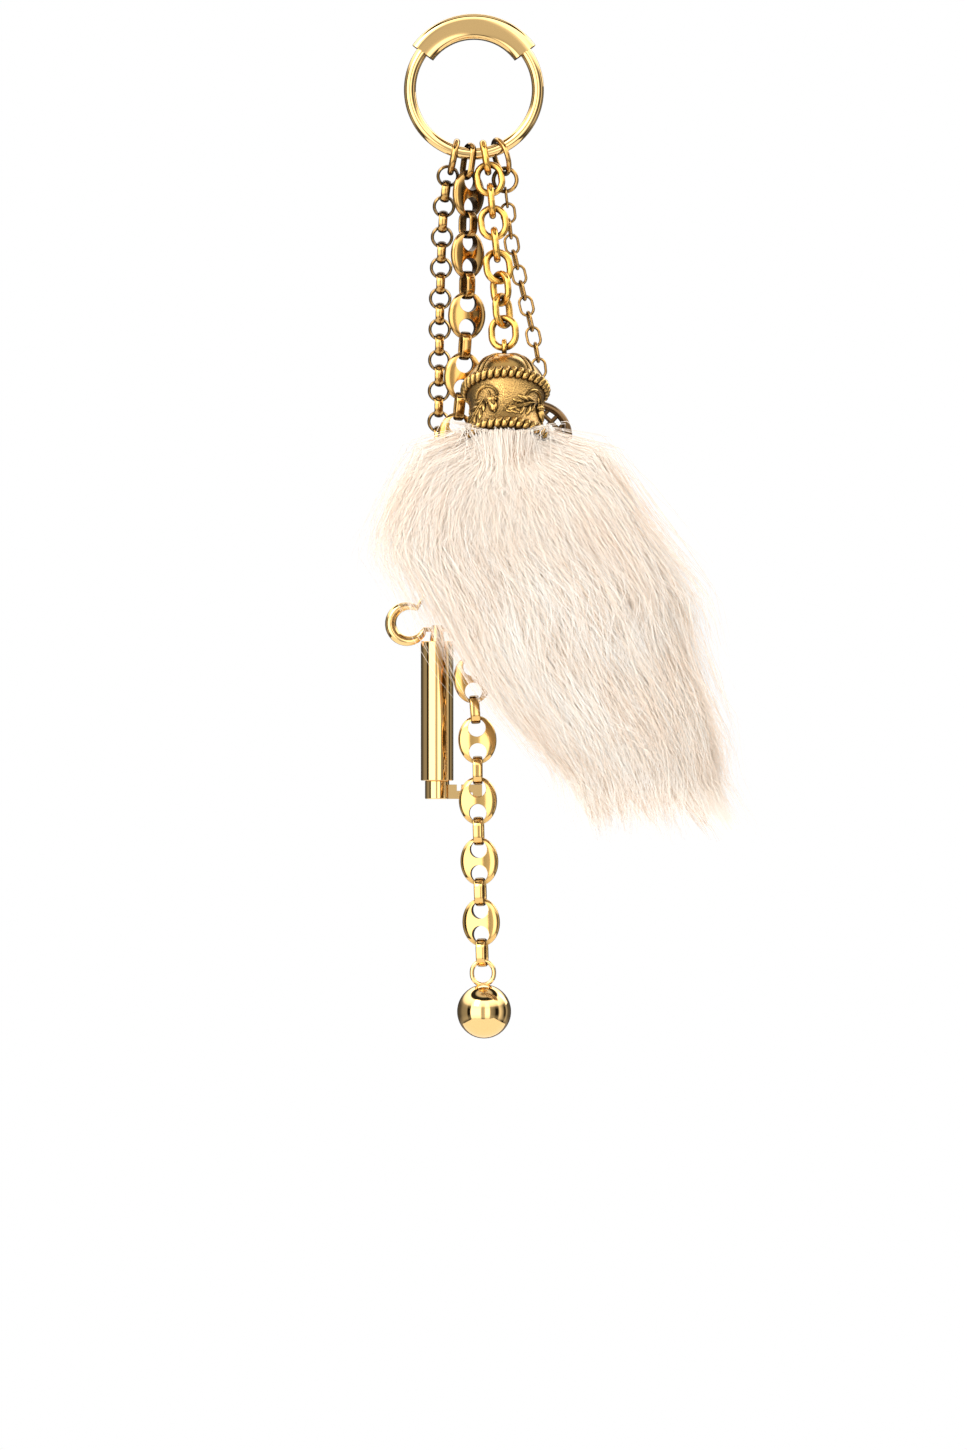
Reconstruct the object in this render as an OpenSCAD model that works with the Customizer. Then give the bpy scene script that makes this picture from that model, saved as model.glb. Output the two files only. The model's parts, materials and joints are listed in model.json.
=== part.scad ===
// Fur-tail key ring: a split ring with a sliding sleeve, from which four chains hang side by side.
// They carry a barrel key, a ball, a fur tail in a cast cap, and a medallion.
// Millimetres. X runs to the right, Z runs up and the front of the piece faces -Y.
// The origin is the centre of the ring, from which everything hangs.

/* [Ring and sleeve] */
// Radius of the ring, to the middle of its wire
ring_r = 16; // [15.8:0.1:16.2]
// Thickness of the ring's wire
ring_wire = 3; // [2.8:0.1:3.1]
// Angle of the gap through which keys go on
gap_angle = 12; // [6:1:16]
// Angle that the sleeve covers
sleeve_angle = 108; // [90:2:116]
// Height of the sleeve's section, outwards from the ring's centre
sleeve_h = 6.4; // [5.6:0.1:7]
// Thickness of the sleeve from front to back
sleeve_d = 5.4; // [4.8:0.1:6]

/* [Chains] */
// Wire of the cable chain that carries the fur tail
thick_wire = 1.7; // [1.5:0.05:1.8]
// Length of one link of that chain
thick_l = 9.15; // [9:0.05:9.2]
// Width of one link of that chain
thick_w = 7.75; // [7.4:0.05:8]
// Length of one oval link
oval_l = 12.1; // [11.9:0.1:12.2]
// Width of one oval link
oval_w = 9.6; // [9:0.1:9.8]
// Thickness of one oval link at its middle
oval_d = 3; // [2.4:0.1:3.2]
// Wire of the thin chain
thin_wire = 0.7; // [0.6:0.02:0.72]
// Outer diameter of one belcher link
rolo_d = 5.7; // [5.66:0.01:5.74]
// Wall of one belcher link
rolo_wall = 0.82; // [0.76:0.02:0.84]

/* [Tail] */
// Angle by which the cap leans forward at its mouth
cap_lean = 25; // [20:1:28]
// Radius of the sphere that the cap's dome is cut from
dome_r = 10.5; // [10.4:0.1:10.9]
// Height of the dome
dome_h = 8; // [7.6:0.1:8.2]
// Radius of the rope bands, to the middle of the rope
rope_r = 9.9; // [9.6:0.1:10]
// Distance between the two rope bands
rope_gap = 14; // [12:0.5:14]

/* [Key and ball] */
// Diameter of the key's barrel
barrel_d = 8.2; // [7.6:0.1:8.4]
// Diameter of the key's tip
tip_d = 6.1; // [5:0.1:6.6]
// Thickness of the key's bit
bit_t = 2.4; // [1.8:0.1:2.6]
// Diameter of the ball
ball_d = 13.5; // [12:0.1:14]

/* [Medallion] */
// Diameter of the medallion
medal_d = 18; // [16:0.5:19]
// Thickness of the medallion
medal_t = 2.2; // [1.8:0.1:2.6]

/* [Hidden] */
$fn = 48;
smooth = 96;
thick_n = 9;
oval_n = 13;
rolo_runs = [5, 5, 5, 5, 6];
thin_runs = [4, 5, 4];
function two_digits(i) = i < 10 ? str("0", i) : str(i);

// Play between two pieces that hook into each other
play = 0.12;
// Running fit of the sleeve on the ring's wire
slide_fit = 0.06;

// Colours
polished = [0.87, 0.75, 0.47];
satin = [0.85, 0.66, 0.30];
antique = [0.70, 0.54, 0.28];
fur_cream = [0.94, 0.88, 0.80];
leather_tan = [0.78, 0.66, 0.52];

// Height of the ring wire's centre at a place along the ring's lower half
function ring_z(x) = -sqrt(ring_r * ring_r - x * x);

// ---- Routes of the chains: sideways and depth at each height, chosen by hand ----
rolo_x = [[-21, -6.45], [-25.5, -7.1], [-30, -7.6], [-37, -8.0], [-53, -8.5], [-77, -8.8], [-122, -9.3]];
rolo_y = [[-21, 1.1], [-30, 3.0], [-40, 4.8], [-50, 6.2], [-60, 7.2], [-80, 8.6], [-122, 10.0]];
oval_x = [[-17, -1.1], [-26, -1.35], [-41.5, -1.6], [-55.7, -1.75], [-71, -2.7], [-85, -4.3], [-100.5, -3.6],
          [-116, -2.3], [-132, -1.3], [-148, -0.3], [-163, 0.9], [-178, 1.0], [-194, 1.4], [-224, 2.3]];
oval_y = [[-17, 0.1], [-26, 0.5], [-230, 0.5]];
thick_x = [[-17, 2.9], [-22.5, 3.9], [-34, 4.9], [-45, 6.1], [-50, 6.7], [-56, 7.2], [-66, 7.6]];
thick_y = [[-17, -0.2], [-22.5, -1.5], [-34, -3.5], [-45, -5.3], [-56, -7.0], [-66, -8.4]];
thin_x = [[-26.5, 8.1], [-38.5, 9.5], [-46.5, 11.4], [-58, 14.2], [-66.5, 16.0], [-72, 16.6], [-84, 16.4]];
thin_y = [[-22, 0.9], [-27, 1.5], [-40, 4.4], [-50, 6.0], [-60, 6.5], [-90, 6.5]];

// Turn of each chain's links about their own length
oval_turn = [[-20, 34], [-26, 36], [-41, 33], [-56, 15], [-71, 10], [-85, 6], [-150, 4], [-163, 0], [-178, -5],
             [-194, -10], [-210, -14], [-224, -8]];
thick_turn = [[-39, 0], [-45, 20], [-50, 36], [-55, 54], [-61, 78]];
thin_turn = [[-27, 0], [-40, 10], [-60, 12], [-76, 0]];

// Centres of links that follow a route at an even spacing
function on_route(rx, ry, z) = [lookup(z, rx), lookup(z, ry), z];
function stretch(rx, ry, z, step) = norm(on_route(rx, ry, z - step) - on_route(rx, ry, z)) / step;
function walk(rx, ry, z, step, n) = n == 0 ? [] :
    concat([on_route(rx, ry, z)], walk(rx, ry, z - step / stretch(rx, ry, z, step), step, n - 1));

// Direction of a link down its chain, from the links before and after it
function heading(c, i) = let (a = c[max(i - 1, 0)], b = c[min(i + 1, len(c) - 1)]) (b - a) / norm(b - a);
// Turn that lays a hanging link along that direction
function along(c, i) = let (d = heading(c, i)) [asin(d.y), atan2(-d.x, -d.z), 0];

module hang(c, i, turn) {
    translate(c[i]) rotate(along(c, i)) rotate([0, 0, turn]) children();
}

// ---- Link shapes, hanging along Z and seen flat from the front ----
// A racetrack loop around a section that is drawn at the origin
module loop(l, w, wall) {
    bend = (w - wall) / 2;
    side = l - w;
    for (up = [0, 1])
        rotate([90, 0, 0]) rotate([0, 0, 180 * up]) translate([0, side / 2, 0])
            rotate_extrude(angle = 180) translate([bend, 0]) children();
    if (side > 0)
        for (s = [-1, 1])
            translate([s * bend, 0, 0]) linear_extrude(side, center = true) children();
}

module wire_link(l, w, wire) {
    loop(l, w, wire) circle(d = wire);
}

module wire_ring(d, wire) {
    rotate([90, 0, 0]) rotate_extrude() translate([(d - wire) / 2, 0]) circle(d = wire);
}

// Domed band section: wall across, band along, with blunt edges
band_blunting = 0.94;
module band_section(wall, band) {
    dome = (band * band + wall * wall) / (4 * wall);
    intersection() {
        translate([dome - wall / 2, 0]) circle(dome, $fn = smooth);
        translate([wall / 2 - dome, 0]) circle(dome, $fn = smooth);
        square([2 * wall, band_blunting * band], center = true);
    }
}

module band_ring(d, wall, band) {
    rotate([90, 0, 0]) rotate_extrude() translate([(d - wall) / 2, 0]) band_section(wall, band);
}

module band_link(l, w, wall, band) {
    loop(l, w, wall) band_section(wall, band);
}

// ---- Ring and sleeve ----
module split_ring() {
    color(polished)
    rotate([90, 0, 0]) rotate_extrude(angle = 360 - gap_angle, start = 90 + gap_angle / 2)
        translate([ring_r, 0]) circle(d = ring_wire);
}

sleeve_mid = 15.75;
sleeve_round = 1.2;
module sleeve_section() {
    core_h = sleeve_h / 2 - sleeve_round;
    core_d = sleeve_d / 2 - sleeve_round;
    difference() {
        union() {
            translate([sleeve_mid, 0]) square([sleeve_h, 2 * core_d], center = true);
            translate([sleeve_mid, 0]) square([2 * core_h, sleeve_d], center = true);
            for (u = [-1, 1], v = [-1, 1])
                translate([sleeve_mid + u * core_h, v * core_d]) circle(sleeve_round);
        }
        translate([ring_r, 0]) circle(ring_wire / 2 + slide_fit);
    }
}

module ring_sleeve() {
    color(polished)
    rotate([90, 0, 0]) rotate_extrude(angle = sleeve_angle, start = 90 - sleeve_angle / 2) sleeve_section();
}

// ---- Belcher chain that carries the key ----
rolo_band = 2.3;
rolo_play = 0.2;
rolo_step = rolo_d - 2 * rolo_wall - rolo_play;
rolo_count = 26;
rolo_start = -21.5;
rolo_c = walk(rolo_x, rolo_y, rolo_start, rolo_step, rolo_count);
key_jump_d = 9.4;
key_jump_wire = 1.6;
key_jump_top = [-4.4, 0, ring_z(-4.4) + ring_wire / 2 + play];
key_jump_lean = [8, 12, 0];

// The jump ring hangs from the wire by its inner edge and leans with its chain
module key_chain_ring() {
    color(antique)
    translate(key_jump_top) rotate(key_jump_lean) translate([0, 0, key_jump_wire - key_jump_d / 2])
        rotate([0, 0, 90]) wire_ring(key_jump_d, key_jump_wire);
}

function total(v, n) = n == 0 ? 0 : v[n - 1] + total(v, n - 1);

module belcher_run(r) {
    first = total(rolo_runs, r - 1);
    color(antique)
    for (i = [first : first + rolo_runs[r - 1] - 1])
        hang(rolo_c, i, 90 * (i % 2)) band_ring(rolo_d, rolo_wall, rolo_band);
}

// ---- Oval chain that carries the ball ----
oval_hole = 4.4;
oval_bar = 1.6;
oval_end_r = 3.6;
oval_edge_d = 1.5;
joiner_l = 7.2;
joiner_w = 5.6;
joiner_wall = 0.8;
joiner_band = 2.3;
hole_z = (oval_hole + oval_bar) / 2;
oval_play = 0.4;
oval_step = (hole_z + oval_hole / 2) + (joiner_l / 2 - joiner_wall) - oval_play;
oval_start = -26;
oval_c = walk(oval_x, oval_y, oval_start, oval_step, 2 * oval_n);
ball_jump_l = 9.5;
ball_jump_w = 6.2;
ball_jump_wall = 0.9;
ball_jump_band = 1.7;
ball_jump_x = -0.9;
ball_jump_lean = [2, 8, 0];
ball_jump_turn = 24;
ball_jump_top = [ball_jump_x, 0, ring_z(ball_jump_x) + ring_wire / 2 + oval_play];

module ball_chain_ring() {
    color(antique)
    translate(ball_jump_top) rotate(ball_jump_lean) translate([0, 0, ball_jump_wall - ball_jump_l / 2])
        rotate([0, 0, 90 + ball_jump_turn])
        band_link(ball_jump_l, ball_jump_w, ball_jump_wall, ball_jump_band);
}

// Four tangent arcs: two long ones down the sides and two short ones round the ends
module oval_outline() {
    rise = oval_l / 2 - oval_end_r;
    half = oval_w / 2;
    side_r = (half * half + rise * rise - oval_end_r * oval_end_r) / (2 * (half - oval_end_r));
    back = side_r - half;
    tangent = rise + oval_end_r * rise / norm([rise, back]);
    intersection() {
        translate([-back, 0]) circle(side_r, $fn = smooth);
        translate([back, 0]) circle(side_r, $fn = smooth);
        square([oval_w, 2 * tangent], center = true);
    }
    for (s = [-1, 1])
        translate([0, s * rise]) circle(oval_end_r);
}

// One side of the swelling from the ends of an oval link to its middle
module oval_dome(swell, side) {
    translate([0, side * (swell - oval_d / 2), 0]) rotate([0, 90, 0])
        cylinder(r = swell, h = 2 * oval_w, center = true, $fn = 1000);
}

module oval_link(i) {
    sag = (oval_d - oval_edge_d) / 2;
    reach = oval_l / 2;
    swell = (reach * reach + sag * sag) / (2 * sag);
    k = 2 * (i - 1);
    color(antique)
    hang(oval_c, k, lookup(oval_c[k].z, oval_turn))
        intersection() {
            rotate([90, 0, 0]) linear_extrude(oval_d, center = true)
                difference() {
                    oval_outline();
                    for (s = [-1, 1])
                        translate([0, s * hole_z]) circle(d = oval_hole);
                }
            oval_dome(swell, 1);
            oval_dome(swell, -1);
        }
}

module oval_joiner(i) {
    k = 2 * i - 1;
    color(antique)
    hang(oval_c, k, 90 + lookup(oval_c[k].z, oval_turn))
        band_link(joiner_l, joiner_w, joiner_wall, joiner_band);
}

// ---- Ball ----
ball_eye_l = 7;
ball_eye_w = 6.6;
ball_eye_wire = 1.1;
last_joiner = oval_c[2 * oval_n - 1];
ball_eye_c = last_joiner + [0.2, 0, -(joiner_l / 2 - joiner_wall) - (ball_eye_l / 2 - ball_eye_wire) + play];
ball_c = ball_eye_c + [0.3, 0, 0.6 - ball_eye_l / 2 - ball_d / 2];

module ball_eye() {
    color(polished)
    translate(ball_eye_c) wire_link(ball_eye_l, ball_eye_w, ball_eye_wire);
}

module end_ball() {
    color(polished)
    difference() {
        translate(ball_c) sphere(d = ball_d, $fn = smooth);
        translate(ball_eye_c) wire_link(ball_eye_l, ball_eye_w, ball_eye_wire);
    }
}

// ---- Thick cable chain that carries the tail ----
thick_step = thick_l - 2 * thick_wire - play;
tail_hook_x = 2.75;
thick_top = ring_z(tail_hook_x) + ring_wire / 2 + play + thick_wire - thick_l / 2;
thick_c = walk(thick_x, thick_y, thick_top, thick_step, thick_n);

module tail_chain_link(i) {
    c = thick_c[i - 1];
    color(satin)
    hang(thick_c, i - 1, 90 * (i % 2) + lookup(c.z, thick_turn))
        wire_link(thick_l, thick_w, thick_wire);
}

// ---- Thin chain that carries the medallion ----
thin_l = 5.5;
thin_w = 4;
thin_count = 13;
thin_step = thin_l - 2 * thin_wire - play;
medal_jump_d = 10;
medal_jump_wire = 1.3;
medal_jump_top = [5.8, 0, ring_z(5.8) + ring_wire / 2 + 2 * play];
medal_jump_lean = [6, -16, 0];
medal_jump_turn = 20;
round_ring_d = 6.8;
round_ring_wire = 1;
round_ring_lean = 4;
round_ring_c = [7.8, 0.9, -22.45];
thin_start = -26.8;
thin_c = walk(thin_x, thin_y, thin_start, thin_step, thin_count);

module medallion_chain_ring() {
    color(antique)
    translate(medal_jump_top) rotate(medal_jump_lean)
        translate([0, 0, medal_jump_wire - medal_jump_d / 2])
        rotate([0, 0, 90 + medal_jump_turn]) wire_ring(medal_jump_d, medal_jump_wire);
}

module medallion_round_ring() {
    color(antique)
    translate(round_ring_c) rotate([round_ring_lean, 0, 0]) wire_ring(round_ring_d, round_ring_wire);
}

module thin_chain_run(r) {
    first = total(thin_runs, r - 1);
    color(antique)
    for (i = [first : first + thin_runs[r - 1] - 1])
        hang(thin_c, i, 90 * ((i + 1) % 2) + lookup(thin_c[i].z, thin_turn))
            wire_link(thin_l, thin_w, thin_wire);
}

// ---- Medallion ----
medal_eye_d = 3.6;
medal_eye_wire = 0.8;
last_thin = thin_c[thin_count - 1];
medal_eye_c = last_thin + [0, 0, -(thin_l / 2 - thin_wire) - (medal_eye_d / 2 - medal_eye_wire) + play];
medal_c = medal_eye_c + [-0.9, 0, 0.5 - medal_eye_d / 2 - medal_d / 2];
medal_rim = 1.2;
medal_dish = 0.4;

module medallion() {
    color(antique) {
        translate(medal_eye_c) wire_ring(medal_eye_d, medal_eye_wire);
        translate(medal_c) rotate([90, 0, 0])
            difference() {
                cylinder(d = medal_d, h = medal_t, center = true);
                for (s = [-1, 1])
                    translate([0, 0, s * (medal_t / 2)])
                        cylinder(d = medal_d - 2 * medal_rim, h = 2 * medal_dish, center = true);
            }
    }
}

// ---- Tail: eye, cap, pelt and fur ----
eye_d = 4.7;
eye_wire = 1.25;
last_thick = thick_c[thick_n - 1];
eye_drop = eye_d / 2 - eye_wire - thick_wire / 2 - play;
eye_c = last_thick + (thick_l - thick_wire) / 2 * heading(thick_c, thick_n - 1) - [0, 0, eye_drop];
dome_top = eye_c + [0.3, -0.6, -eye_d / 2 - 0.15];
cap_wall = 1.3;
rope_wire = 2.7;
rope_top = 9;
waist_r = rope_r + 0.2;
waist_sag = 1.2;
skirt_end = rope_top + rope_gap + 1.4;
mouth_r = 8.3;
boss_d = 3.2;
boss_h = 0.8;

// The cap hangs from the middle of its dome and leans forward
module on_cap() {
    translate(dome_top) rotate([-cap_lean, 0, 0]) children();
}

module cap_eye() {
    color(satin) {
        difference() {
            union() {
                translate(eye_c) rotate([0, 0, 90]) wire_ring(eye_d, eye_wire);
                on_cap() translate([0, 0, -boss_h / 2]) cylinder(d = boss_d, h = boss_h);
            }
            on_cap() translate([0, 0, -dome_r]) sphere(dome_r, $fn = smooth);
        }
    }
}

module cap_waist() {
    swell = (rope_gap * rope_gap / 4 + waist_sag * waist_sag) / (2 * waist_sag);
    rotate_extrude($fn = smooth)
        difference() {
            translate([0, -skirt_end]) square([waist_r, skirt_end - dome_h]);
            translate([waist_r - waist_sag + swell, -rope_top - rope_gap / 2]) circle(swell, $fn = 2 * smooth);
        }
}

module tail_cap() {
    color(antique)
    on_cap()
        difference() {
            union() {
                intersection() {
                    translate([0, 0, -dome_r]) sphere(dome_r, $fn = smooth);
                    translate([0, 0, -dome_h]) cylinder(r = dome_r, h = dome_h);
                }
                cap_waist();
                for (a = [rope_top, rope_top + rope_gap])
                    translate([0, 0, -a]) rotate_extrude() translate([rope_r, 0]) circle(d = rope_wire);
            }
            intersection() {
                translate([0, 0, -dome_r]) sphere(dome_r - cap_wall, $fn = smooth);
                translate([0, 0, -dome_h]) cylinder(r = mouth_r, h = dome_h);
            }
            translate([0, 0, -skirt_end - 1]) cylinder(r = mouth_r, h = skirt_end + 1 - dome_h);
        }
}

// The rolled leather of the tail: it fills the cap's mouth and runs down inside the fur
pelt_top = 13;
pelt_end = 34;
pelt_nose = 5;
module tail_pelt() {
    color(leather_tan)
    on_cap() {
        translate([0, 0, -skirt_end]) cylinder(r = mouth_r, h = skirt_end - pelt_top);
        translate([0, 0, -pelt_end]) cylinder(r1 = pelt_nose, r2 = mouth_r, h = pelt_end - skirt_end);
    }
}

// Slices of the fur: height, middle sideways, half width and half depth
fur_slices = [
    [-98, 9.6, 22.5, 14], [-105, 10.4, 28.5, 16], [-115, 13, 33, 17.5], [-127, 20.5, 32, 17.5],
    [-140, 25, 28.5, 17], [-153, 31.5, 25.5, 15.5], [-165, 38.5, 21.5, 13], [-174, 43, 17, 10],
    [-181, 44, 10.5, 6], [-184, 43, 4, 2.5]];
fur_sides = 28;
fur_back = -4.5;
root_r = 11;
neck_r = 15;
// Turn that keeps the pocket's seam off the corners of the fur's outline
seam_turn = 6;

function oval_ring(c, a, b) = [for (j = [0 : fur_sides - 1]) c + [a * cos(j * 360 / fur_sides),
    b * sin(j * 360 / fur_sides), 0]];
// A ring that lies square to the cap's axis, at a distance down from the dome's top
function leaning_ring(down, r, lean, side) = [for (j = [0 : fur_sides - 1])
    let (u = r * cos(j * 360 / fur_sides), v = r * sin(j * 360 / fur_sides))
    dome_top + [u + side, v * cos(lean) - down * sin(cap_lean), -v * sin(lean) - down * cos(cap_lean)]];
fur_rings = concat(
    [leaning_ring(skirt_end + 0.3, root_r, cap_lean, 0), leaning_ring(skirt_end + 2.2, neck_r, 20, 0.4)],
    [for (s = fur_slices) oval_ring([s[1], fur_back - s[3], s[0]], s[2], s[3])]);

function side_faces(n) = [for (k = [0 : n - 2], j = [0 : fur_sides - 1])
    let (a = k * fur_sides, b = a + fur_sides, m = (j + 1) % fur_sides) each [[a + j, b + j, b + m], [a + j, b + m, a + m]]];

module fur_body() {
    n = len(fur_rings);
    points = [for (ring = fur_rings) each ring];
    top = [[for (j = [0 : fur_sides - 1]) j]];
    bottom = [[for (j = [fur_sides - 1 : -1 : 0]) (n - 1) * fur_sides + j]];
    polyhedron(points, concat(side_faces(n), top, bottom), convexity = 4);
}

module tail_fur() {
    color(fur_cream)
    difference() {
        fur_body();
        on_cap() rotate([0, 0, seam_turn]) translate([0, 0, -pelt_end])
            cylinder(r1 = pelt_nose, r2 = mouth_r, h = pelt_end - skirt_end);
    }
}

// ---- Key ----
lobe_r = 4.4;
bow_wire = 2.2;
bridge_wire = 1.5;
// Balls that join the wires where they meet
knuckle_d = bow_wire + 0.1;
lobe_top_out = 10.75;
lobe_side = 7.3;
last_rolo = rolo_c[rolo_count - 1];
top_lobe = last_rolo + [0, 0, -(rolo_d / 2 - rolo_wall) + play + bow_wire / 2 - lobe_r];
barrel_x = last_rolo.x;
barrel_drop = 15.2;
barrel_top = top_lobe.z - barrel_drop;
post_d = 3.2;
post_l = 3.25;
barrel_l = 35;
tip_l = 4.6;
bit_h = 3.6;
bit_reach = 11.3;
notch = 1.6;
notch_w = 1.1;
notch_outs = [1.9, 4.8];

// Each lobe's centre, the direction of its open side and half the angle of that opening
lobes = [[[0, 0], 270, 48], [[-lobe_side, -lobe_top_out], 20, 42], [[lobe_side, -lobe_top_out], 160, 42]];
function lobe_end(k, s) = let (a = lobes[k][1] + s * lobes[k][2])
    [lobes[k][0].x + lobe_r * cos(a), 0, lobes[k][0].y + lobe_r * sin(a)];

module rod(p, q, d) {
    v = q - p;
    translate(p) rotate([0, acos(v.z / norm(v)), atan2(v.y, v.x)]) cylinder(d = d, h = norm(v));
}

module key_bow() {
    color(polished)
    translate(top_lobe) {
        for (k = [0 : 2])
            translate([lobes[k][0].x, 0, lobes[k][0].y]) rotate([90, 0, 0])
                rotate_extrude(angle = 360 - 2 * lobes[k][2], start = lobes[k][1] + lobes[k][2])
                    translate([lobe_r, 0]) circle(d = bow_wire);
        rod(lobe_end(0, -1), lobe_end(1, 1), bridge_wire);
        rod(lobe_end(0, 1), lobe_end(2, -1), bridge_wire);
        rod(lobe_end(1, -1), lobe_end(2, 1), bridge_wire);
        for (k = [0 : 2], s = [-1, 1])
            translate(lobe_end(k, s)) sphere(d = knuckle_d);
        translate([0, 0, -barrel_drop]) cylinder(d = post_d, h = post_l);
    }
}

module on_barrel() {
    translate([barrel_x, top_lobe.y, barrel_top]) children();
}

module key_barrel() {
    color(polished)
    difference() {
        on_barrel() translate([0, 0, -barrel_l]) cylinder(d = barrel_d, h = barrel_l, $fn = smooth);
        key_bow();
    }
}

module key_tip() {
    color(polished)
    on_barrel() translate([0, 0, -barrel_l - tip_l]) cylinder(d = tip_d, h = tip_l);
}

// The bit stands to the right of the tip, with one notch in its upper edge and one in its lower edge
module key_bit() {
    color(polished)
    on_barrel() translate([0, 0, -barrel_l - tip_l])
        difference() {
            translate([0, -bit_t / 2, 0]) cube([bit_reach, bit_t, bit_h]);
            translate([0, 0, -1]) cylinder(d = tip_d, h = tip_l + 2);
            translate([tip_d / 2 + notch_outs[0], -bit_t, bit_h - notch]) cube([notch_w, 2 * bit_t, notch + 1]);
            translate([tip_d / 2 + notch_outs[1], -bit_t, -1]) cube([notch_w, 2 * bit_t, notch + 1]);
        }
}

// ---- Drawing ----
split_ring();
ring_sleeve();
key_chain_ring();
ball_chain_ring();
medallion_chain_ring();
medallion_round_ring();
for (i = [1 : thick_n])
    tail_chain_link(i);
for (i = [1 : oval_n])
    oval_link(i);
for (i = [1 : oval_n])
    oval_joiner(i);
for (i = [1 : len(rolo_runs)])
    belcher_run(i);
for (i = [1 : len(thin_runs)])
    thin_chain_run(i);
cap_eye();
tail_cap();
tail_pelt();
tail_fur();
key_bow();
key_barrel();
key_tip();
key_bit();
ball_eye();
end_ball();
medallion();
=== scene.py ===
# %% [markdown]
# # A key ring with a fur tail
# A polished split ring carries four strands: a barrel key on a belcher chain, a ball on a chain of
# puffed oval links, a fur tail in a cast cap on a thick cable chain, and a pierced medallion on a thin
# one. The frame already holds every part at its place and size, so each part below either keeps its
# shape and gets a real finish, or gives way to a richer piece built at the same spot.

# %% Load the frame
import json
import math

import bmesh
import bpy
import numpy as np
from mathutils import Matrix, Vector


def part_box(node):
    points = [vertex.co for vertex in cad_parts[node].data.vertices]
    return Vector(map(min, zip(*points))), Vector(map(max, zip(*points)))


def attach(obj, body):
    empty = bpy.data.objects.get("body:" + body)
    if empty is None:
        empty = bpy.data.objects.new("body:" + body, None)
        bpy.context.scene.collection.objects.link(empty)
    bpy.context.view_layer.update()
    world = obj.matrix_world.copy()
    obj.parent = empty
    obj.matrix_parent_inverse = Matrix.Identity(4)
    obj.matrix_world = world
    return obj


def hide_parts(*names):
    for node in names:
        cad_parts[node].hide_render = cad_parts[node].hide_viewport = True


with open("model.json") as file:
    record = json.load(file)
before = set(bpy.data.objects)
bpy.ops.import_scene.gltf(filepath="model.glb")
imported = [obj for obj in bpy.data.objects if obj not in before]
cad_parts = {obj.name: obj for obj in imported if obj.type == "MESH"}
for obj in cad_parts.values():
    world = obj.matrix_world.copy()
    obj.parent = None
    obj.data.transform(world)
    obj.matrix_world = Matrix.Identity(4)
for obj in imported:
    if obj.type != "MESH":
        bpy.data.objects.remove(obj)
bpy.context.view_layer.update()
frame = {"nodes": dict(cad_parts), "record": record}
nodes = frame["nodes"]
MM = 0.001

# %% [markdown]
# ## The camera
# Small bright jewellery is photographed from far away with a long lens, so that the near chain and the
# far one keep the same scale. The lens follows from the distance and from the height of the view.

# %% Set up the camera
VIEW_HEIGHT = 0.3625
VIEW_MIDDLE = Vector((0.0024, 0, -0.1588))
CAMERA_AWAY = 2.0

camera = bpy.data.objects.new("camera", bpy.data.cameras.new("camera"))
camera.data.lens = CAMERA_AWAY * camera.data.sensor_width / VIEW_HEIGHT
camera.location = VIEW_MIDDLE - Vector((0, CAMERA_AWAY, 0))
camera.rotation_euler = (math.radians(90), 0, 0)
bpy.context.collection.objects.link(camera)
bpy.context.scene.camera = camera
print("lens", round(camera.data.lens), "mm")

# %% [markdown]
# ## Shader helpers
# Node trees are hard to read as lists of links. A small class wraps a socket, so that arithmetic on it
# adds Math nodes, and one method of a finish adds every other kind of node.

# %% Wrap sockets and finishes
def plug(socket, value):
    """Feeds a socket from another one, or sets it to a plain value."""
    if isinstance(value, Number):
        socket.id_data.links.new(value.socket, socket)
    elif hasattr(socket.default_value, "__len__") and len(socket.default_value) == 4 and len(value) == 3:
        socket.default_value = (*value, 1)
    else:
        socket.default_value = value


class Number:
    """A value that varies over a surface. Arithmetic on it adds Math nodes."""

    def __init__(self, socket):
        self.socket = socket

    def math(self, operation, *values):
        node = self.socket.id_data.nodes.new("ShaderNodeMath")
        node.operation = operation
        for socket, value in zip(node.inputs, values):
            plug(socket, value)
        return Number(node.outputs[0])

    def __add__(self, other):
        return self.math("ADD", self, other)

    def __sub__(self, other):
        return self.math("SUBTRACT", self, other)

    def __rsub__(self, other):
        return self.math("SUBTRACT", other, self)

    def __mul__(self, other):
        return self.math("MULTIPLY", self, other)

    def __pow__(self, other):
        return self.math("POWER", self, other)

    __radd__ = __add__
    __rmul__ = __mul__

    def clamped(self):
        result = self * 1
        result.socket.node.use_clamp = True
        return result


class Finish:
    """A material or a world that is being made from nodes."""

    def __init__(self, owner):
        owner.use_nodes = True
        self.owner = owner
        self.tree = owner.node_tree
        self.tree.nodes.clear()

    def node(self, kind, settings=None, output=0, **values):
        node = self.tree.nodes.new("ShaderNode" + kind)
        for key, value in (settings or {}).items():
            if key == "stops":
                while len(node.color_ramp.elements) < len(value):
                    node.color_ramp.elements.new(0.5)
                for element, (place, shade) in zip(node.color_ramp.elements, value):
                    element.position = place
                    element.color = (*shade, 1) if hasattr(shade, "__len__") else (shade, shade, shade, 1)
            else:
                setattr(node, key, value)
        for name, value in values.items():
            key = name.replace("_", " ")
            plug(node.inputs[int(key[1:]) if key[1:].isdigit() else key], value)
        return Number(node.outputs[output]) if node.outputs else node

    def mix(self, factor, a, b):
        """One colour over another."""
        return self.node("Mix", {"data_type": "RGBA"}, output=2, Factor=factor, i6=a, i7=b)

    def noise(self, scale, detail=2.0, stretch=(1, 1, 1)):
        """Noise on Object coordinates, with its scale in features per metre."""
        place = self.node("Mapping", Vector=self.node("TexCoord", output=3), Scale=stretch)
        return self.node("TexNoise", Vector=place, Scale=scale, Detail=detail)


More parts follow.
